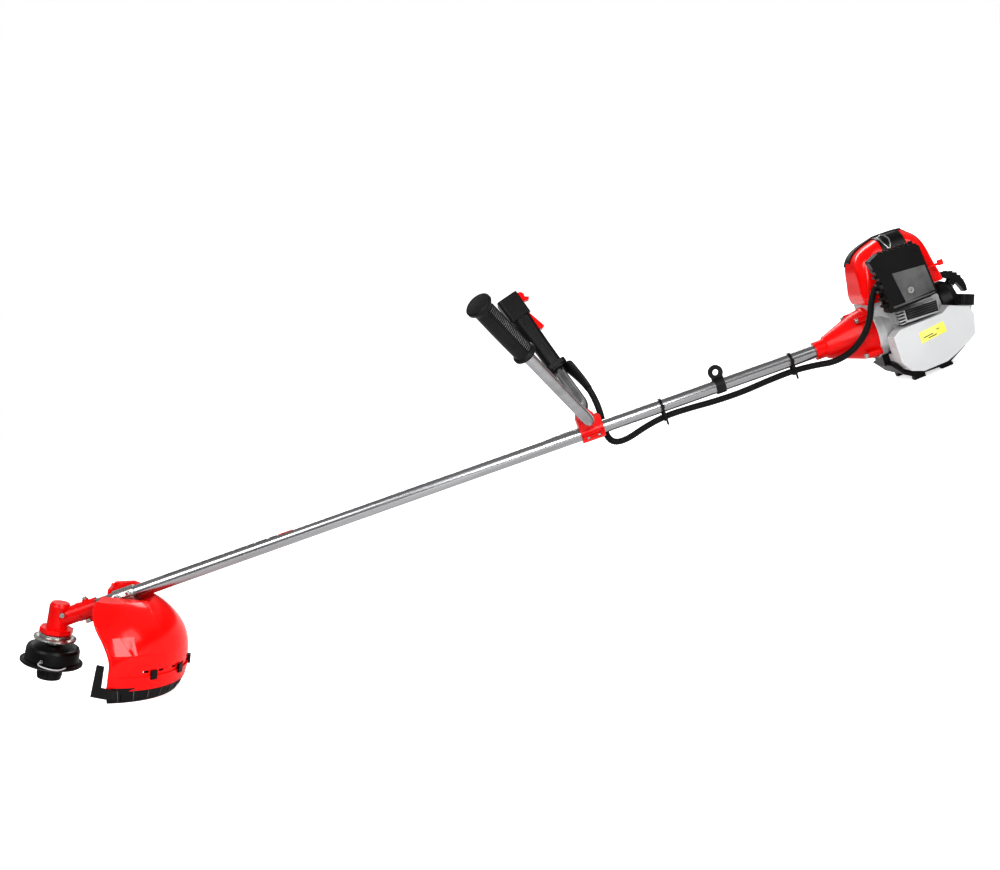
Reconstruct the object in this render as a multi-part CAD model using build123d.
"""Petrol brush cutter with a nylon line head, built as separate pieces.

Shaft frame, in millimetres: the origin is where the shaft axis meets the head's
spindle axis, +X runs along the shaft towards the engine, +Y is the operator's
right-hand side and +Z is square to the shaft, upwards. At the end every piece
is turned about Y so that the machine lies on its guard and its engine stand,
and moved so that the origin is the bottom centre of its box.
"""
import math
import os

from build123d import *

# ---------------------------------------------------------------- driving sizes
FIT = 0.05               # radial running clearance
GAP = 0.4                # clearance between pieces that move past each other

TUBE_R = 13.0            # aluminium shaft tube, outer radius
TUBE_BORE = 11.5
TUBE_FRONT = 50.0
TUBE_REAR = 1560.0
SHAFT_R = 4.0            # solid drive shaft
BUSH_X = (220, 480, 740, 1000, 1260, 1480)

SPINDLE_TILT = 30.0      # spindle leans this far from square to the shaft
GEAR_MODULE = 1.3
PINION_TEETH = 15
OUTPUT_TEETH = 20
FACE_WIDTH = 4.5

HEAD_TOP = -48.0         # heights along the spindle axis
HEAD_SPLIT = -77.0
HEAD_FLOOR = -84.0
KNOB_FLOOR = -113.0
HEAD_R = 49.5
DISC_R = 57.0
KNOB_R = 23.0
LINE_R = 1.35
EYELET_ANGLES = (190, 10)
EYELET_HEIGHT = -70.0
EYELET_R = 3.5

GUARD_TILT = 26.0        # guard rim against the shaft
GUARD_WALL = 2.6
GUARD_OPEN = 30.0        # how far the inner outline runs out of the open front
# level, front, half width and rear of the guard's outer skin
GUARD_LEVELS = (
    (-64, 127, 148.5, 240.5),
    (-30, 126, 146, 242),
    (-2, 112, 136, 236),
    (24, 92, 120, 220),
    (46, 81, 98, 196),
    (60, 81, 74, 170),
)
SKIRT_LEVELS = (
    (-82, 123, 150, 240),
    (-56, 125, 151, 245),
)
STRIP_LEVELS = (
    (-103, 127, 150, 229),
    (-76, 122, 151.5, 240),
)
SLOT_LEVEL = -48.0
SLOT_COUNT = 9
SLOT_STEP = 13.0
NOTCH_COUNT = 11
NOTCH_STEP = 12.0
CLIP_ANGLES = (-46, -19.5, 6.5)
# back and up of the line cutter's corners
BLADE_OUTLINE = ((104, -34), (117, -36), (115, -75), (142, -78), (142, -96), (98, -92))
CHANNEL_HALF = 31.0      # valley in the guard that the tube lies in
CHANNEL_FLOOR = -21.0
# X and Z of the web that stands up beside the tube on the right
TOWER_OUTLINE = ((98, 5), (113, 25.5), (147, 15), (162, 2), (160, -14), (104, -8))
TOWER_DEEP = 14.0

BAR_R = 11.0             # handlebar tube
BAR_BORE = 9.5
BAR_X = 1054.0
BAR_Z = 26.0
LEFT_END = (921, -235, 303)
RIGHT_LOW = (1049, 185, 116)
RIGHT_END = (1004, 238, 274)

HANGER_X = 1315.0
HANGER_HOLE_Z = 26.0
HANGER_HOLE_R = 6.0

HOSE_R = 6.3
TIE_SLACK = 0.7          # room for the hose's bend inside a tie
TIE_BAND = 1.6
TIE_X = (1197, 1458)

HOUSING_X = (1508, 1530, 1596, 1619)
HOUSING_R = (17.5, 21.5, 46.0, 50.0)
HOUSING_BOLT_R = 53.0
CRANK_X = 1698.0         # cylinder axis
CASE_FRONT = 1650.0
CASE_REAR = 1752.0
# height, front and rear of the engine cover, then its half width and corner
COVER_LEVELS = (
    (56, 1616, 1769, 53, 14),
    (92, 1615, 1762, 53, 18),
    (122, 1618, 1758, 51, 24),
    (142, 1626, 1752, 46, 26),
    (156, 1645, 1742, 38, 26),
    (166, 1676, 1732, 24, 18),
)
FILTER_FACE = -112.0
TANK_FACE = -86.0
CAP_LEAN = 20.0          # the filler neck leans back this far
CAP_BASE = Vector(1785, -68, -2)
CAP_R = 16.0
CAP_RIBS = 16
STAND_FLOOR = -102.5
STAND_CONTACT = 1738.0
STAND_HALF = 52.0
STARTER_REAR = 1788.0
LEVER_Y = -64.0          # the choke and throttle levers' common axis
LEVER_Z = 70.0
LEVER_PIN_R = 1.6
PULL_FROM = Vector(1773, 0, 16)
PULL_WAY = Vector(1, 0, 1).normalized()

# ------------------------------------------------------------------- directions
lean = math.radians(SPINDLE_TILT)
SPIN = Vector(math.sin(lean), 0, math.cos(lean))
BACK = Vector(math.cos(lean), 0, -math.sin(lean))
rake = math.radians(GUARD_TILT)
GUARD_UP = Vector(math.sin(rake), 0, math.cos(rake))
GUARD_BACK = Vector(math.cos(rake), 0, -math.sin(rake))
cap_lean = math.radians(CAP_LEAN)
CAP_WAY = Vector(math.sin(cap_lean), 0, math.cos(cap_lean))

parts = {}


# ---------------------------------------------------------------------- helpers
def rod(start, end, radius):
    """Round bar between two points."""
    start = Vector(*start)
    run = Vector(*end) - start
    solid = Cylinder(radius, run.length, align=(Align.CENTER, Align.CENTER, Align.MIN))
    return Plane(origin=start, z_dir=run) * solid


def ring(start, end, outer, inner):
    """Round tube between two points."""
    start = Vector(*start)
    end = Vector(*end)
    step = (end - start).normalized()
    return rod(start, end, outer) - rod(start - step, end + step, inner)


def block(x0, x1, y0, y1, z0, z1):
    """Box between two corners."""
    solid = Box(x1 - x0, y1 - y0, z1 - z0)
    return Pos((x0 + x1) / 2, (y0 + y1) / 2, (z0 + z1) / 2) * solid


def side_plate(outline, y0, y1, corner=0.0):
    """Outline in X and Z, as thick as y0 to y1, with rounded corners."""
    face = make_face(Polyline(list(outline), close=True))
    if corner:
        face = fillet(face.vertices(), corner)
    face = Plane((0, y0, 0), x_dir=(1, 0, 0), z_dir=(0, -1, 0)) * face
    return extrude(face, amount=-(y1 - y0))


def spun(profile, plane):
    """Solid of revolution from (radius, height) points about a plane's normal."""
    flat = make_face(Polyline([(r, 0, h) for r, h in profile], close=True))
    return plane * revolve(flat, Axis.Z)


def on_spindle(height):
    """Point on the spindle axis."""
    return SPIN * height


def head_point(back, side, height):
    """Point given in the head's own directions."""
    return BACK * back + Vector(0, side, 0) + SPIN * height


def guard_point(back, side, up):
    """Point given in the guard's own directions."""
    return GUARD_BACK * back + Vector(0, side, 0) + GUARD_UP * up


def group(*solids):
    """Several separate solids in one piece."""
    flat = []
    for solid in solids:
        flat.extend(solid.solids())
    return Compound(children=flat)


def bolt(head_at, direction, shank_r, shank, head_r, head):
    """Socket screw: its head stands out along direction, its shank goes in."""
    at = Vector(*head_at)
    way = Vector(*direction).normalized()
    body = rod(at, at + way * head, head_r)
    if shank:
        body += rod(at - way * shank, at, shank_r)
    socket = Plane(origin=at + way * (head * 0.4), z_dir=way)
    hexagon = extrude(RegularPolygon(head_r * 0.5, 6), amount=head)
    return body - socket * hexagon


HEAD_PLANE = Plane(origin=(0, 0, 0), x_dir=BACK, z_dir=SPIN)
GUARD_PLANE = Plane(origin=(0, 0, 0), x_dir=GUARD_BACK, z_dir=GUARD_UP)
SHAFT_PLANE = Plane(origin=(0, 0, 0), x_dir=(0, 1, 0), z_dir=(1, 0, 0))


# ------------------------------------------------------------------ shaft tube
def make_shaft():
    tube = ring((TUBE_FRONT, 0, 0), (TUBE_REAR, 0, 0), TUBE_R, TUBE_BORE)
    bushes = [ring((x - 12, 0, 0), (x + 12, 0, 0), TUBE_BORE, SHAFT_R + FIT) for x in BUSH_X]
    pinion_bearing = ring((22, 0, 0), (36, 0, 0), 12.5, SHAFT_R + FIT)
    lower_bearing = ring(on_spindle(-23), on_spindle(-16.5), 14.0, 6 + FIT)
    upper_bearing = ring(on_spindle(-15.5), on_spindle(-9), 14.0, 6 + FIT)
    clutch_bearing = ring((1562, 0, 0), (1572, 0, 0), 13.0, SHAFT_R + FIT)
    parts["shaft_tube"] = tube
    parts["shaft_bearings"] = group(*bushes, pinion_bearing, lower_bearing, upper_bearing,
                                    clutch_bearing)
    parts["drive_shaft"] = rod((14, 0, 0), (1590, 0, 0), SHAFT_R)


# ----------------------------------------------------------------- bevel gears
def bevel_gear(teeth, mate, plane, bore, phase):
    """Straight bevel gear whose cone apex is the plane's origin and whose axis is its normal."""
    sigma = math.radians(90 + SPINDLE_TILT)
    cone = math.atan2(math.sin(sigma), mate / teeth + math.cos(sigma))
    outer_r = GEAR_MODULE * teeth / 2
    outer = outer_r / math.sin(cone)
    inner = outer - FACE_WIDTH
    root = cone - math.atan2(1.15 * GEAR_MODULE, outer)
    tooth_low = 1.5 * GEAR_MODULE
    tooth_high = 0.75 * GEAR_MODULE
    half_low = 0.62 * GEAR_MODULE
    half_high = 0.26 * GEAR_MODULE
    rim = outer * math.cos(cone - root)
    hub = inner * math.cos(cone - root)
    blank = spun([
        (bore, hub * math.cos(root)),
        (hub * math.sin(root), hub * math.cos(root)),
        (rim * math.sin(root), rim * math.cos(root)),
        (rim * math.sin(root), rim * math.cos(root) + 2.5),
        (bore, rim * math.cos(root) + 2.5),
    ], Plane.XY)
    profile = [(-half_low, -tooth_low), (half_low, -tooth_low),
               (half_high, tooth_high), (-half_high, tooth_high)]
    along = Vector(math.sin(cone), 0, math.cos(cone))
    sections = []
    for reach in (inner, outer):
        size = reach / outer
        face = make_face(Polyline([(x * size, y * size) for x, y in profile], close=True))
        seat = Plane(origin=along * reach, x_dir=(0, 1, 0), z_dir=along)
        flip = 1 if seat.y_dir.X > 0 else -1
        seat = Plane(origin=along * reach, x_dir=(0, flip, 0), z_dir=along)
        sections.append(seat * face)
    tooth = loft(sections, ruled=True)
    gear = blank
    for index in range(teeth):
        gear += Rot(0, 0, phase + index * 360 / teeth) * tooth
    return plane * gear


def make_gears():
    drive_plane = Plane(origin=(0, 0, 0), x_dir=(0, 0, -1), z_dir=(1, 0, 0))
    down_plane = Plane(origin=(0, 0, 0), x_dir=BACK, z_dir=SPIN * -1)
    pinion = bevel_gear(PINION_TEETH, OUTPUT_TEETH, drive_plane, SHAFT_R, 0)
    wheel = bevel_gear(OUTPUT_TEETH, PINION_TEETH, down_plane, 6.0, 180 / OUTPUT_TEETH)
    parts["drive_pinion"] = pinion
    parts["output_gear"] = wheel


# -------------------------------------------------------------------- gearcase
def make_gearcase():
    column = rod(on_spindle(-16), on_spindle(27), 19)
    crown = on_spindle(27)
    cap = Plane(origin=crown, z_dir=SPIN) * extrude(Circle(19), amount=6, taper=28)
    foot = HEAD_PLANE * (Pos(0, 0, -24) * extrude(RegularPolygon(31, 8, rotation=22.5), amount=9))
    arm = rod((0, 0, 0), (78, 0, 0), 16.5)
    step = ring((40, 0, 0), (46, 0, 0), 17.6, 12)
    lug = block(48, 74, -6, 6, -24, -10)
    pad = rod((60, 0, 12), (60, 0, 19.5), 6)
    body = column + cap + foot + arm + step + lug + pad
    gear_room = rod(on_spindle(-9), on_spindle(12), 15.2)
    lower_seat = rod(on_spindle(-25), on_spindle(-9), 14)
    pinion_room = rod((0, 0, 0), (22, 0, 0), 12.2)
    pinion_seat = rod((20, 0, 0), (50, 0, 0), 12.5)
    socket = rod((TUBE_FRONT, 0, 0), (90, 0, 0), TUBE_R)
    slit = block(46, 90, -1.2, 1.2, -30, -8)
    cavity = gear_room + lower_seat + pinion_room + pinion_seat + socket + slit
    parts["gearcase"] = body - cavity
    return [
        bolt((54, -6, -19.9), (0, -1, 0), 2.2, 0, 4.2, 4),
        bolt((68, -6, -19.9), (0, -1, 0), 2.2, 0, 4.2, 4),
        bolt((60, 0, 19.5), (0, 0, 1), 2.2, 0, 4.2, 4),
        bolt((16, -19.6, 8), (0, -1, 0), 2.2, 0, 4.6, 3.5),
    ]


# ---------------------------------------------------------------- trimmer head
def make_head():
    parts["output_spindle"] = rod(on_spindle(-3.4), on_spindle(-88), 6)
    parts["spindle_flange"] = spun([
        (6, -25), (27, -25), (29, -27), (29, -30), (34, -30.5), (38.5, -33), (39, -35),
        (38, -37), (31, -38.5), (22, -41), (15, -42), (15, -46), (6, -46),
    ], HEAD_PLANE)
    outer = [
        (6, HEAD_TOP), (20, HEAD_TOP), (41, HEAD_TOP - 0.8), (46.5, HEAD_TOP - 3),
        (48.6, HEAD_TOP - 8), (HEAD_R, HEAD_SPLIT),
    ]
    inner = [
        (HEAD_R - 2.6, HEAD_SPLIT), (45.8, HEAD_TOP - 9), (43, HEAD_TOP - 5),
        (37, HEAD_TOP - 3.2), (12, HEAD_TOP - 3.2), (12, HEAD_TOP - 14), (6, HEAD_TOP - 14),
    ]
    cup = spun(outer + inner, HEAD_PLANE)
    eyelets = []
    for angle in EYELET_ANGLES:
        across = head_point(math.sin(math.radians(angle)), math.cos(math.radians(angle)), 0)
        middle = on_spindle(EYELET_HEIGHT)
        cup -= rod(middle + across * 40, middle + across * 56, EYELET_R + 0.1)
        eyelets.append(ring(middle + across * 45.6, middle + across * 52, EYELET_R, 1.8))
    parts["head_housing"] = cup
    parts["line_eyelets"] = group(*eyelets)
    parts["head_cover"] = spun([
        (HEAD_R - 2.6, HEAD_SPLIT), (HEAD_R + 1.5, HEAD_SPLIT), (DISC_R - 3, HEAD_SPLIT - 1.5),
        (DISC_R - 1.5, HEAD_SPLIT - 0.5), (DISC_R, HEAD_SPLIT - 1.5), (DISC_R, HEAD_FLOOR + 2.5),
        (DISC_R - 3, HEAD_FLOOR), (KNOB_R + 0.6, HEAD_FLOOR), (KNOB_R + 0.6, HEAD_FLOOR + 2.6),
        (46, HEAD_SPLIT - 3),
    ], HEAD_PLANE)
    spool = spun([
        (6 + FIT, -62.5), (42, -62.5), (42, -64.5), (20, -64.5), (20, -76), (42, -76),
        (42, -78), (6 + FIT, -78),
    ], HEAD_PLANE)
    parts["line_spool"] = spool
    wire = Circle(0.9)
    coil = Helix(pitch=3.2, height=9.6, radius=10.6)
    start = coil @ 0
    way = coil % 0
    spring = sweep(Plane(origin=start, z_dir=way) * wire, path=coil)
    parts["head_spring"] = HEAD_PLANE * (Pos(0, 0, -89.2) * spring)
    knob = spun([
        (0, -98), (16, -98), (16, HEAD_FLOOR - 0.6), (KNOB_R, HEAD_FLOOR - 0.6), (KNOB_R, -104),
        (KNOB_R - 1.5, -112), (KNOB_R - 5, KNOB_FLOOR), (0, KNOB_FLOOR),
    ], HEAD_PLANE)
    for index in range(8):
        angle = math.radians(index * 45)
        side = Vector(0, math.cos(angle), 0) + BACK * math.sin(angle)
        flute = side * (KNOB_R + 1.6)
        knob -= rod(on_spindle(-94) + flute, on_spindle(-120) + flute, 3.2)
    parts["tap_knob"] = knob


# ---------------------------------------------------------------- trimmer line
LINE_ROUTE = ((-9, -52, -70), (-13, -60, -70.5), (-8, -68, -72), (7, -71, -74),
              (20, -67, -76), (30, -60, -76), (37, -52, -73))


def corner_radii(points):
    """Largest bend that each corner's two runs allow."""
    radii = []
    for before, here, after in zip(points, points[1:], points[2:]):
        turn = (here - before).get_angle(after - here)
        shorter = min((here - before).length, (after - here).length)
        radii.append(0.45 * shorter / math.tan(math.radians(turn / 2)))
    return radii


def swept_tube(points, radius, name):
    """Round tube along straight runs that arcs join."""
    radii = corner_radii(points)
    path = FilletPolyline(*points, radius=radii)
    tube = sweep(Plane(origin=path @ 0, z_dir=path % 0) * Circle(radius), path=path)
    ratio = tube.volume / (math.pi * radius ** 2 * path.length)
    print(name, "length", round(path.length, 1), "radii", [round(r, 1) for r in radii],
          "volume ratio", round(ratio, 4))
    return tube


def make_line():
    points = [head_point(*p) for p in LINE_ROUTE]
    parts["trimmer_line"] = swept_tube(points, LINE_R, "trimmer_line")


# ----------------------------------------------------------------------- guard
def guard_section(level, front, half, rear, wall=0.0):
    """Level outline: a straight front and one arc round the back; wall gives the inner one."""
    depth = rear - front
    radius = (half ** 2 + depth ** 2) / (2 * depth)
    centre = rear - radius
    if wall:
        front -= GUARD_OPEN
        radius -= wall
        half = math.sqrt(radius ** 2 - (front - centre) ** 2)
    face = make_face([
        Line((front, half), (front, -half)),
        ThreePointArc((front, -half), (centre + radius, 0), (front, half)),
    ])
    return GUARD_PLANE * (Pos(0, 0, level) * face)


def guard_loft(levels, wall=0.0, drop=0.0, lift=0.0):
    """Solid through the level outlines, with its lowest and highest levels moved."""
    rows = [list(row) for row in levels]
    rows[0][0] -= drop
    rows[-1][0] += lift
    return loft([guard_section(*row, wall) for row in rows])


def skin(levels, wall, lift):
    """Hollow piece, open at the front and below."""
    return guard_loft(levels) - guard_loft(levels, wall, 1, lift)


def channel(half, floor):
    """Square valley along the shaft, open upwards."""
    return block(40, 260, -half, half, floor, 120)


def rim_seat(row, level, angle):
    """Plane on the outer skin, its normal pointing out and its x direction up."""
    front, half, rear = row[1:]
    depth = rear - front
    radius = (half ** 2 + depth ** 2) / (2 * depth)
    turn = math.radians(angle)
    out = GUARD_BACK * math.cos(turn) + Vector(0, math.sin(turn), 0)
    origin = guard_point(rear - radius, 0, level) + out * radius
    return Plane(origin=origin, x_dir=GUARD_UP, z_dir=out)


def make_guard():
    outer = guard_loft(GUARD_LEVELS)
    shell = skin(GUARD_LEVELS, GUARD_WALL, -GUARD_WALL)
    valley = channel(CHANNEL_HALF, CHANNEL_FLOOR)
    lining = channel(CHANNEL_HALF + GUARD_WALL, CHANNEL_FLOOR - GUARD_WALL)
    shell = (shell - lining) + ((lining - valley) & outer)
    for index in range(SLOT_COUNT):
        angle = (index - (SLOT_COUNT - 1) / 2) * SLOT_STEP
        shell -= rim_seat(GUARD_LEVELS[1], SLOT_LEVEL, angle) * Box(4, 12, 40)
    tower = side_plate(TOWER_OUTLINE, CHANNEL_HALF, CHANNEL_HALF + TOWER_DEEP, 2)
    parts["guard_shell"] = shell + tower
    skirt_outer = guard_loft(SKIRT_LEVELS)
    parts["guard_extension"] = skin(SKIRT_LEVELS, 2.2, 1) - outer
    strip = skin(STRIP_LEVELS, 3.2, 1) - skirt_outer
    for index in range(NOTCH_COUNT):
        angle = (index - (NOTCH_COUNT - 1) / 2) * NOTCH_STEP
        strip -= rim_seat(STRIP_LEVELS[0], STRIP_LEVELS[0][0] + 10, angle) * Box(14, 1.2, 3)
    parts["guard_edge_strip"] = strip
    clips = []
    for angle in CLIP_ANGLES:
        seat = rim_seat(GUARD_LEVELS[1], SLOT_LEVEL - 6, angle)
        clips.append(seat * (Pos(0, 0, 2) * Box(16, 12, 8)) - outer - skirt_outer)
    parts["guard_clips"] = group(*clips)


def make_guard_fittings():
    x0, x1 = 112, 152
    half_ring = ring((x0, 0, 0), (x1, 0, 0), TUBE_R + 3.2, TUBE_R)
    upper = (half_ring + block(x0, x1, -28, 28, 1, 4.5)) - rod((x0 - 1, 0, 0), (x1 + 1, 0, 0), TUBE_R)
    upper -= block(x0 - 1, x1 + 1, -40, 40, -40, 0.8)
    lower = block(x0, x1, -28, 28, CHANNEL_FLOOR, -0.8) - rod((x0 - 1, 0, 0), (x1 + 1, 0, 0), TUBE_R)
    parts["guard_bracket"] = group(upper, lower)
    screws = []
    for x in (x0 + 9, x1 - 9):
        for y in (-22, 22):
            screws.append(bolt((x, y, 4.5), (0, 0, 1), 2.5, 0, 4.6, 5))
    blade = [guard_point(back, 0, up) for back, up in BLADE_OUTLINE]
    blade = side_plate([(p.X, p.Z) for p in blade], -155, -150)
    parts["line_cutter"] = blade - guard_loft(STRIP_LEVELS)
    return screws


# -------------------------------------------------------------------- handlebar
def make_handlebar():
    left = Vector(*LEFT_END)
    low = Vector(*RIGHT_LOW)
    top = Vector(*RIGHT_END)
    way = (top - low).normalized()
    points = [left, Vector(BAR_X, -72, BAR_Z), Vector(BAR_X, 44, BAR_Z), Vector(BAR_X + 12, 82, 42),
              low, low + way * 62]
    path = FilletPolyline(*points, radius=[58, 44, 52, 60])
    seat = Plane(origin=path @ 0, z_dir=path % 0)
    bar = sweep(seat * Circle(BAR_R), path=path)
    parts["handlebar_tube"] = bar - sweep(seat * Circle(BAR_BORE), path=path)

    x0 = BAR_X - 19
    x1 = BAR_X + 26
    lug = rod((x0, 0, 0), (x1, 0, 0), TUBE_R + 5.5)
    saddle = rod((BAR_X, -27, BAR_Z), (BAR_X, 27, BAR_Z), BAR_R + 6)
    web = block(x0, x1, -17, 17, 0, 30)
    ear = block(x0 + 2, x1 - 2, -25, 25, -6, -1)
    body = lug + saddle + web + ear
    body -= rod((x0 - 30, 0, 0), (x1 + 30, 0, 0), TUBE_R)
    body -= rod((BAR_X, -40, BAR_Z), (BAR_X, 40, BAR_Z), BAR_R)
    split = BAR_Z + 0.6
    base = body - block(x0 - 30, x1 + 30, -60, 60, split, 80)
    base -= block(x0 - 30, x1 + 30, -60, 60, -4.1, -2.9)
    cap = body & block(x0 - 30, BAR_X + 14, -60, 60, split + 0.4, 80)
    lower = base & block(x0 - 30, x1 + 30, -60, 60, -60, -3.5)
    parts["clamp_base"] = base & block(x0 - 30, x1 + 30, -60, 60, -3.5, 80)
    parts["clamp_cap"] = group(cap, lower)
    bolts = []
    for x in (BAR_X - 8, BAR_X + 13):
        for y in (-21.2, 21.2):
            bolts.append(bolt((x, y, -6), (0, 0, -1), 2.2, 0, 3.4, 3.6))
    bolts.append(bolt((BAR_X, 0, BAR_Z + BAR_R + 6), (0, 0, 1), 2.2, 0, 4, 4))
    parts["clamp_bolts"] = group(*bolts)

    reach = left - Vector(BAR_X, -72, BAR_Z)
    grip_way = reach.normalized()
    foot = left - grip_way * 138
    tip = left + grip_way * 5
    grip = rod(foot, tip, 18.5) + rod(foot, foot + grip_way * 6, 22) + rod(tip - grip_way * 9, tip, 23)
    for index in range(14):
        at = foot + grip_way * (14 + index * 8)
        grip -= ring(at, at + grip_way * 2.6, 21, 17.6)
    grip -= rod(foot - grip_way, left, BAR_R)
    parts["left_grip"] = grip
    return bar


# ----------------------------------------------------------------- control grip
grip_axis = (Vector(*RIGHT_END) - Vector(*RIGHT_LOW)).normalized()
GRIP_LENGTH = (Vector(*RIGHT_END) - Vector(*RIGHT_LOW)).length
side_way = grip_axis.cross(Vector(1, 0, 0)).normalized()
rear_way = side_way.cross(grip_axis).normalized()
GRIP = Plane(origin=RIGHT_LOW, x_dir=rear_way, z_dir=grip_axis)
TRIGGER_PIVOT = (-12, 116)
LOCKOUT_PIVOT = (14.5, 123)
SWITCH_PIVOT = (20, 159.5)
PIN_R = 1.4


def grip_section(height, front, rear, half, corner):
    """Rounded section of the control grip at a height along it."""
    face = Pos((front + rear) / 2, 0, height) * RectangleRounded(rear - front, 2 * half, corner)
    return face


def grip_point(rear, side, up):
    """Point given in the control grip's own directions."""
    return Vector(*RIGHT_LOW) + rear_way * rear + GRIP.y_dir * side + grip_axis * up


def grip_plate(outline, half):
    """Outline in rear and up directions, centred on the grip."""
    face = make_face(Polyline(outline, close=True))
    flat = Plane(origin=RIGHT_LOW, x_dir=rear_way, z_dir=rear_way.cross(grip_axis))
    return extrude(flat * face, amount=half, both=True)


def pin_hole(pivot):
    """Hole for a lever's pin, with running clearance."""
    return rod(grip_point(pivot[0], -9, pivot[1]), grip_point(pivot[0], 9, pivot[1]), PIN_R + FIT)


def make_control_grip(bar):
    handle = loft([
        grip_section(0, -17, 17, 16.5, 13),
        grip_section(60, -17.5, 17, 16.5, 13),
        grip_section(128, -20, 19, 17, 12),
    ])
    head = extrude(grip_section(122, -24, 22, 21, 7), amount=GRIP_LENGTH - 122)
    flange = extrude(grip_section(-2, -23, 23, 22, 12), amount=9)
    collar = extrude(grip_section(-6, -20, 19, 19, 12), amount=13)
    nose = extrude(grip_section(-18, -15.5, 13.5, 15.5, 12), amount=16)
    body = GRIP * (handle + head + flange + collar + nose)
    body -= bar
    body -= grip_plate([(-40, 60), (2, 64), (2, 122), (-40, 122)], 7)
    body -= grip_plate([(4, 80), (40, 76), (40, 128.5), (4, 128.5)], 6.5)
    body -= grip_plate([(12, 145.5), (40, 145.5), (40, 173), (12, 173)], 7)
    body -= GRIP * (Pos(1, 0, 136) * Box(30, 30, 12))
    for rear, up in (TRIGGER_PIVOT, LOCKOUT_PIVOT, SWITCH_PIVOT):
        body += rod(grip_point(rear, -8, up), grip_point(rear, 8, up), PIN_R)
    left = body & (GRIP * (Pos(0, -50, 90) * Box(200, 100, 400)))
    right = body & (GRIP * (Pos(0, 50, 90) * Box(200, 100, 400)))
    parts["control_grip_left"] = left
    parts["control_grip_right"] = right

    trigger = grip_plate([(-16, 121), (-9, 121), (-7, 112), (-13, 92), (-17, 74), (-28, 66),
                          (-36, 68), (-37, 76), (-32, 92), (-29, 104), (-22, 114)], 6.2)
    parts["throttle_trigger"] = trigger - pin_hole(TRIGGER_PIVOT)
    lockout = grip_plate([(11, 127.5), (18.5, 127.5), (29, 84), (22, 81), (14, 86), (10, 118)], 5.7)
    parts["throttle_lockout"] = lockout - pin_hole(LOCKOUT_PIVOT)
    switch = grip_plate([(17, 149), (24.5, 149), (34, 146.5), (38, 150.5), (31, 156), (33, 162),
                         (30, 168), (24, 170.5), (17, 170)], 6.2)
    parts["stop_switch"] = switch - pin_hole(SWITCH_PIVOT)


# -------------------------------------------------------------- cable and hanger
HOSE_ROUTE = ((1073, 193, 110), (1086, 150, 82), (1092, 100, 52), (1090, 52, 20), (1082, 22, -13),
              (1087, 4, -36), (1114, -2, -39), (1154, 0, -28), (1197, 0, -21), (1245, 0, -22),
              (1295, 0, -26), (1350, 0, -27), (1405, 0, -23), (1458, 0, -21), (1500, -8, -24),
              (1532, -25, -28), (1562, -47, -17), (1588, -64, 6), (1606, -72, 34), (1617, -71, 64),
              (1637, -65, 90), (1667, -60, 100))


def make_cable():
    points = [Vector(*p) for p in HOSE_ROUTE]
    parts["throttle_hose"] = swept_tube(points, HOSE_R, "throttle_hose")
    sleeve = swept_tube(points, HOSE_R + GAP, "tie clearance")
    ties = []
    for x in TIE_X:
        seat = Pos(0, -21.5)
        room = HOSE_R + TIE_SLACK
        outer = make_hull((Circle(TUBE_R + TIE_BAND) + seat * Circle(room + TIE_BAND)).edges())
        inner = make_hull((Circle(TUBE_R + 0.1) + seat * Circle(room)).edges())
        band = Plane(origin=(x - 2.4, 0, 0), x_dir=(0, 1, 0), z_dir=(1, 0, 0)) * extrude(
            outer - inner, amount=4.8)
        knob = block(x - 3.2, x + 3.2, -19, -13.6, -3, 3)
        tail = block(x - 1.8, x + 1.8, -17.6, -16.2, -36, -3)
        ties.append((band + knob + tail) - sleeve)
    parts["cable_ties"] = group(*ties)


def make_hanger():
    band = ring((HANGER_X - 9, 0, 0), (HANGER_X + 9, 0, 0), TUBE_R + 2.5, TUBE_R)
    tongue = rod((HANGER_X, -3, HANGER_HOLE_Z), (HANGER_X, 3, HANGER_HOLE_Z), 14)
    neck = block(HANGER_X - 11, HANGER_X + 11, -3, 3, 12, 26)
    plate = tongue + neck + band
    plate -= rod((HANGER_X - 20, 0, 0), (HANGER_X + 20, 0, 0), TUBE_R)
    plate -= rod((HANGER_X, -9, HANGER_HOLE_Z), (HANGER_X, 9, HANGER_HOLE_Z), HANGER_HOLE_R)
    parts["harness_hanger"] = plate


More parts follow.
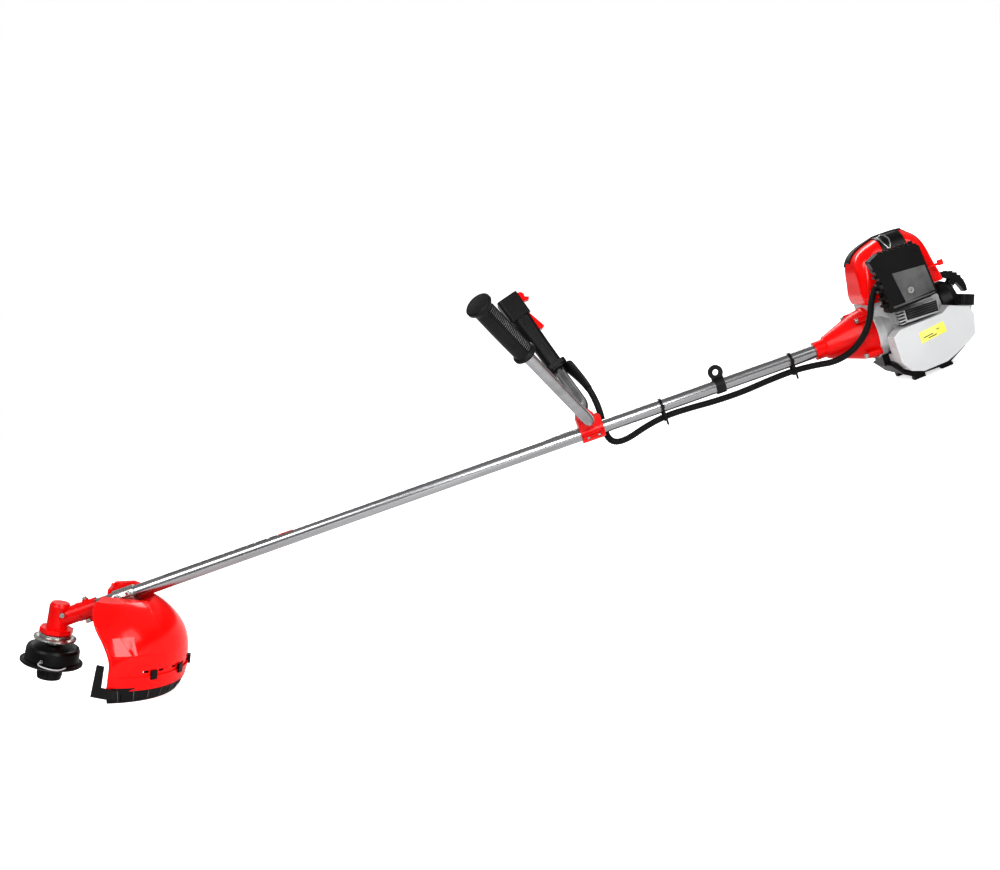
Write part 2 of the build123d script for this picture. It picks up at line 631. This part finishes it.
# ------------------------------------------------------------------ drive end
def make_clutch():
    x0, x1, x2, x3 = HOUSING_X
    r0, r1, r2, r3 = HOUSING_R
    wall = 4.0
    outer = spun([
        (0, x0), (r0, x0), (r0, x1 - 4), (r1, x1), (r2, x2), (r3 - 1.5, x3 - 9), (r3, x3 - 7),
        (r3, x3), (0, x3),
    ], SHAFT_PLANE)
    cavity = spun([
        (0, 1574), (r1 + 4, 1574), (r2 - wall, x2 - 4), (r3 - wall - 1.5, x3 - 9),
        (r3 - wall - 1.5, x3 + 1), (0, x3 + 1),
    ], SHAFT_PLANE)
    housing = outer - cavity
    housing -= rod((x0 - 1, 0, 0), (TUBE_REAR, 0, 0), TUBE_R)
    housing -= rod((TUBE_REAR, 0, 0), (1576, 0, 0), TUBE_R)
    housing -= block(x0 - 1, x1 - 2, -1.2, 1.2, -30, -8)
    bolts = []
    for angle in (40, 140, 220, 320):
        spoke = Vector(0, math.cos(math.radians(angle)), math.sin(math.radians(angle)))
        seat = Vector(x2 - 4, 0, 0) + spoke * HOUSING_BOLT_R
        rim = Vector(x3, 0, 0) + spoke * HOUSING_BOLT_R
        root = Vector(x3, 0, 0) + spoke * HOUSING_BOLT_R * 0.8
        boss = rod(seat, rim, 6.5) + rod(root - Vector(6, 0, 0), root, 9)
        housing += boss - cavity
        bolts.append(bolt(seat, (-1, 0, 0), 2.6, 0, 4.6, 6))
    parts["clutch_housing"] = housing
    parts["clutch_drum"] = spun([
        (SHAFT_R, 1576), (12, 1576), (38, 1590), (39.5, 1592), (39.5, 1611), (37, 1611),
        (37, 1594), (10, 1594), (10, 1588), (SHAFT_R, 1588),
    ], SHAFT_PLANE)
    shoe = spun([(20, 1597), (36.3, 1597), (36.3, 1609), (20, 1609)], SHAFT_PLANE)
    gap = block(1590, 1615, -60, 60, -2.5, 2.5)
    hub = spun([(5, 1599), (18, 1599), (18, 1607), (5, 1607)], SHAFT_PLANE)
    parts["clutch_shoes"] = group(*(shoe - gap).solids(), hub)
    return bolts


def make_crank():
    parts["crankshaft"] = group(
        rod((1596, 0, 0), (1668, 0, 0), 5) + rod((1668, 0, 0), (1680, 0, 0), 19)
        + rod((1680, 0, 8), (1708, 0, 8), 5) + rod((1708, 0, 0), (1720, 0, 0), 19)
        + rod((1720, 0, 0), (1762, 0, 0), 5)
    )
    wheel = spun([
        (5, 1624), (40, 1624), (42, 1626), (42, 1636), (36, 1638), (14, 1638), (14, 1642),
        (5, 1642),
    ], SHAFT_PLANE)
    for index in range(16):
        fin = Rot(index * 22.5, 0, 0) * block(1619.5, 1625, -1, 1, 22, 40)
        wheel += fin
    parts["flywheel"] = wheel


# --------------------------------------------------------------------- engine
def make_cases():
    fan_outer = spun([(0, 1619), (50, 1619), (52, 1622), (52, 1634), (46, 1650), (0, 1650)],
                     SHAFT_PLANE)
    fan_inner = spun([(0, 1618), (44.5, 1618), (44.5, 1644), (7, 1644), (7, 1651), (0, 1651)],
                     SHAFT_PLANE)
    scroll = side_plate([(1619, 20), (1619, 66), (1632, 74), (1650, 74), (1650, 20)], -43, 43)
    parts["fan_case"] = (fan_outer + scroll) - fan_inner
    body = side_plate([(1650, -44), (1752, -44), (1752, 34), (1650, 34)], -42, 42, 6)
    body += rod((1752, 0, 0), (1755, 0, 0), 40)
    shelf = side_plate([(1656, 4), (1732, 4), (1735, 29), (1656, 29)], -76, -40, 1.5)
    for index in range(4):
        shelf -= block(1650, 1668, -80, -60, 6 + index * 6, 9 + index * 6)
    body += shelf
    body -= rod((1656, 0, 0), (1746, 0, 0), 30)
    body -= rod((1640, 0, 0), (1760, 0, 0), 5 + FIT)
    body -= rod((CRANK_X, 0, 0), (CRANK_X, 0, 40), 20)
    parts["crankcase"] = body

    barrel = rod((CRANK_X, 0, 34), (CRANK_X, 0, 112), 27)
    base = block(CRANK_X - 32, CRANK_X + 32, -36, 36, 34, 42)
    fins = [block(CRANK_X - 40, CRANK_X + 40, -38, 38, z, z + 2.2) for z in range(48, 112, 7)]
    crown = rod((CRANK_X, 0, 112), (CRANK_X, 0, 120), 18)
    cylinder = barrel + base + crown
    for fin in fins:
        cylinder += fin
    cylinder += block(CRANK_X - 20, CRANK_X + 20, -44, -20, 52, 90)
    cylinder += block(CRANK_X - 20, CRANK_X + 20, 20, 44, 52, 90)
    cylinder -= rod((CRANK_X, 0, 33), (CRANK_X, 0, 104), 20)
    cylinder -= rod((CRANK_X, 0, 104), (CRANK_X, 0, 121), 5)
    parts["cylinder"] = cylinder
    plug = rod((CRANK_X, 0, 108), (CRANK_X, 0, 120), 5) + rod((CRANK_X, 0, 120), (CRANK_X, 0, 126), 9)
    plug += rod((CRANK_X, 0, 126), (CRANK_X, 0, 138), 6)
    plug += rod((CRANK_X, 0, 134), (CRANK_X + 30, 0, 134), 5.5)
    parts["spark_plug"] = plug


def cover_section(z, x0, x1, half, corner):
    """Level outline of the engine cover."""
    return Pos((x0 + x1) / 2, 0, z) * RectangleRounded(x1 - x0, 2 * half, corner)


def make_cover():
    outer = loft([cover_section(*row) for row in COVER_LEVELS])
    wall = 2.6
    rows = [(z, front + wall, rear - wall, half - wall, corner - wall)
            for z, front, rear, half, corner in COVER_LEVELS]
    rows[0] = (rows[0][0] - 1,) + rows[0][1:]
    rows[-1] = (rows[-1][0] - wall,) + rows[-1][1:]
    cover = outer - loft([cover_section(*row) for row in rows])
    for index in range(5):
        x = 1650 + index * 20
        cover -= block(x, x + 9, 20, 80, 112, 119)
    cover -= block(1655, 1742, -80, -30, 50, 112)
    cover -= block(1655, 1742, 30, 80, 50, 100)
    parts["engine_cover"] = cover


def make_intake():
    back = block(1632, 1722, -88, -80, 38, 140)
    back -= rod((CRANK_X, -90, 70), (CRANK_X, -78, 70), 10)
    parts["air_filter_base"] = back
    outline = [(1629, 36), (1727, 44), (1718, 137), (1711, 144), (1640, 147), (1621, 138),
               (1632, 96), (1635, 54)]
    shell = side_plate(outline, FILTER_FACE, -88, 4)
    hollow = side_plate([(1638, 42), (1721, 48), (1713, 134), (1643, 140), (1628, 134), (1638, 96)],
                        FILTER_FACE + 3, -87, 2)
    cover = shell - hollow
    for index in range(5):
        x = 1648 + index * 13
        cover -= block(x, x + 6, -96, -87, 136, 150)
    for index in range(5):
        z = 46 + index * 15
        cover -= block(1620, 1640, -96, -87, z, z + 6)
    cover -= rod((1679, -120, 66), (1679, -100, 66), 3.1)
    parts["air_filter_cover"] = cover
    filter_bolt = bolt((1679, FILTER_FACE, 66), (0, -1, 0), 3, 22, 6, 5)
    carb = block(1680, 1716, -78, -50, 52, 88)
    carb += rod((CRANK_X, -44, 70), (CRANK_X, -80, 70), 14)
    carb -= rod((CRANK_X, -40, 70), (CRANK_X, -81, 70), 9)
    carb -= rod((1692, -64, 51), (1692, -64, 58), 9.4)
    carb += rod((1671, LEVER_Y, LEVER_Z), (1681, LEVER_Y, LEVER_Z), LEVER_PIN_R)
    carb += rod((1715, LEVER_Y, LEVER_Z), (1722, LEVER_Y, LEVER_Z), LEVER_PIN_R)
    parts["carburettor"] = carb
    pin = rod((1665, LEVER_Y, LEVER_Z), (1725, LEVER_Y, LEVER_Z), LEVER_PIN_R + FIT)
    hub = rod((1717, LEVER_Y, LEVER_Z), (1720, LEVER_Y, LEVER_Z), 5)
    lever = hub + block(1717, 1720, -68, -60, 70, 91)
    lever += block(1717, 1764, -66, -62, 86, 90)
    lever += block(1760, 1769, -67, -61, 84.5, 94)
    parts["choke_lever"] = lever - pin
    bulb = rod((1692, -64, 41), (1692, -64, 53), 9)
    bulb = fillet(bulb.edges().filter_by(GeomType.CIRCLE).sort_by(Axis.Z)[0], 5)
    parts["primer_bulb"] = bulb
    cam = rod((1672, LEVER_Y, LEVER_Z), (1679, LEVER_Y, LEVER_Z), 6)
    cam += block(1672, 1679, -67, -61, 70, 86)
    parts["throttle_lever"] = cam - pin
    return filter_bolt


def make_exhaust():
    can = side_plate([(1660, 44), (1736, 44), (1736, 98), (1660, 98)], 45, 86, 8)
    can -= side_plate([(1663, 47), (1733, 47), (1733, 95), (1663, 95)], 48, 83, 6)
    can += rod((1728, 66, 90), (1752, 66, 96), 7)
    can -= rod((1726, 66, 89.5), (1756, 66, 97), 5)
    parts["muffler"] = can
    shield = side_plate([(1652, 36), (1744, 36), (1744, 108), (1652, 108)], 56, 97, 12)
    shield -= side_plate([(1655, 39), (1741, 39), (1741, 105), (1655, 105)], 50, 94, 10)
    for index in range(6):
        z = 50 + index * 8.5
        shield -= block(1668, 1728, 90, 100, z, z + 4)
    shield -= rod((1735, 66, 92), (1756, 66, 97), 9)
    parts["muffler_cover"] = shield


def make_starter():
    dome = spun([(0, 1755), (48, 1755), (48, 1776), (42, STARTER_REAR), (0, STARTER_REAR)],
                SHAFT_PLANE)
    outlet = rod(PULL_FROM, PULL_FROM + PULL_WAY * 27, 9)
    hollow = spun([(0, 1754), (43, 1754), (43, 1775), (38, STARTER_REAR - 4), (0, STARTER_REAR - 4)],
                  SHAFT_PLANE)
    housing = (dome + outlet) - hollow
    housing -= rod(PULL_FROM, PULL_FROM + PULL_WAY * 30, 3)
    for index in range(10):
        vent = block(STARTER_REAR - 8, STARTER_REAR + 2, -2.5, 2.5, 24, 37)
        if index != 0:
            housing -= Rot(index * 36, 0, 0) * vent
    housing += rod((1779, 0, 0), (STARTER_REAR - 4, 0, 0), 4)
    parts["starter_housing"] = housing
    parts["starter_pulley"] = spun([
        (5.1, 1763), (34, 1763), (34, 1765.5), (27, 1767), (27, 1774), (34, 1775.5), (34, 1778),
        (5.1, 1778),
    ], SHAFT_PLANE)


def make_starter_handle():
    seat = Plane(origin=PULL_FROM + PULL_WAY * 29, x_dir=PULL_WAY, z_dir=(0, -1, 0))
    outer = ThreePointArc((3, -34), (21, 0), (3, 34))
    inner = ThreePointArc((-1, 30), (7, 0), (-1, -30))
    crescent = make_face([outer, Line(outer @ 1, inner @ 0), inner, Line(inner @ 1, outer @ 0)])
    bar = extrude(seat * crescent, amount=9, both=True)
    stem = rod(PULL_FROM + PULL_WAY * 29, PULL_FROM + PULL_WAY * 44, 9)
    rope = rod(PULL_FROM + PULL_WAY * 10, PULL_FROM + PULL_WAY * 32, 1.8)
    parts["starter_handle"] = bar + stem + rope


def make_tank():
    outline = [(1633, -12), (1649, -2), (1733, 1), (1749, 11), (1786, -3), (1790, -22), (1782, -55),
               (1767, -65), (1736, -80), (1718, -87), (1671, -90), (1648, -82), (1635, -62)]
    upper = side_plate(outline, TANK_FACE, 70, 3.5)
    upper -= block(1600, 1760, -44, 44, -48, 20)
    saddle = rod((1740, 0, 0), (1830, 0, 0), 49) + rod((1600, 0, 0), (1654, 0, 0), 52.6)
    tank = (upper - saddle) + rod(CAP_BASE - CAP_WAY * 12, CAP_BASE + CAP_WAY * 12, CAP_R - 4)
    middle = side_plate([(1657, -52), (1778, -52), (1778, -56), (1765, -62), (1735, -76),
                         (1717, -83.5), (1672, -86.5), (1657, -82)], TANK_FACE + 3, 67)
    flank = [(1660, -5), (1732, -2), (1750, 4), (1780, -6), (1785, -22), (1778, -55), (1660, -55)]
    tank -= middle + side_plate(flank, TANK_FACE + 3, -52) + side_plate(flank, 52, 67)
    tank -= rod(CAP_BASE - CAP_WAY * 16, CAP_BASE + CAP_WAY * 13, CAP_R - 7)
    parts["fuel_tank"] = tank
    plane = Plane(origin=CAP_BASE, x_dir=(0, 1, 0), z_dir=CAP_WAY)
    cap = plane * (Pos(0, 0, 1) * extrude(Circle(CAP_R), amount=20))
    for index in range(CAP_RIBS):
        turn = Rot(0, 0, index * 360 / CAP_RIBS)
        cap -= plane * (turn * Pos(CAP_R + 1.2, 0, 0) * extrude(Circle(2), amount=22))
    parts["fuel_cap"] = cap - rod(CAP_BASE, CAP_BASE + CAP_WAY * 17, CAP_R - 3.6)


def make_stand():
    tray = side_plate([(1624, -66), (1644, -90), (1658, -99), (1732, -99), (1738, -94), (1770, -77),
                       (1770, -71), (1738, -82.5), (1719, -89.8), (1671, -92.8), (1646, -84.8),
                       (1633, -64)], -STAND_HALF, STAND_HALF)
    legs = block(1660, 1682, -STAND_HALF, STAND_HALF, STAND_FLOOR - 8, -97)
    legs += block(1716, STAND_CONTACT, -STAND_HALF, STAND_HALF, STAND_FLOOR - 8, -97)
    legs -= block(1630, 1760, -STAND_HALF + 14, STAND_HALF - 14, -140, -99)
    post = block(1622, 1634, -24, 24, -68, -40)
    stand = tray + legs + post
    stand -= rod((1610, 0, 0), (1760, 0, 0), 52.2)
    turn = contact_tilt()
    floor = Plane(origin=(STAND_CONTACT, 0, STAND_FLOOR), z_dir=(-math.sin(turn), 0, math.cos(turn)))
    stand -= floor * (Pos(0, 0, -20) * Box(400, 200, 40))
    parts["engine_stand"] = stand


# ----------------------------------------------------------------- lay it down
def contact_tilt():
    """Angle that puts the guard's rear rim and the engine stand on one level."""
    rim = guard_point(STRIP_LEVELS[0][3], 0, STRIP_LEVELS[0][0])
    return math.atan2(STAND_FLOOR - rim.Z, STAND_CONTACT - rim.X)


def main():
    make_shaft()
    make_gears()
    case_bolts = make_gearcase()
    make_head()
    make_line()
    make_guard()
    guard_screws = make_guard_fittings()
    parts["head_end_bolts"] = group(*case_bolts, *guard_screws)
    bar = make_handlebar()
    make_control_grip(bar)
    make_cable()
    make_hanger()
    housing_bolts = make_clutch()
    make_crank()
    make_cases()
    make_cover()
    filter_bolt = make_intake()
    parts["engine_bolts"] = group(*housing_bolts, filter_bolt)
    make_exhaust()
    make_starter()
    make_starter_handle()
    make_tank()
    make_stand()

    tilt = math.degrees(contact_tilt())
    turned = {name: Rot(0, tilt, 0) * shape for name, shape in parts.items()}
    boxes = [shape.bounding_box() for shape in turned.values()]
    low = Vector(min(b.min.X for b in boxes), min(b.min.Y for b in boxes), min(b.min.Z for b in boxes))
    high = Vector(max(b.max.X for b in boxes), max(b.max.Y for b in boxes), 0)
    shift = Vector(-(low.X + high.X) / 2, -(low.Y + high.Y) / 2, -low.Z)
    print("tilt_deg", round(tilt, 6), "shift_mm", [round(v, 4) for v in shift])
    os.makedirs("parts", exist_ok=True)
    for name, shape in turned.items():
        export_step(Pos(*shift) * shape, f"parts/{name}.step")
    print(len(parts), "nodes")


main()
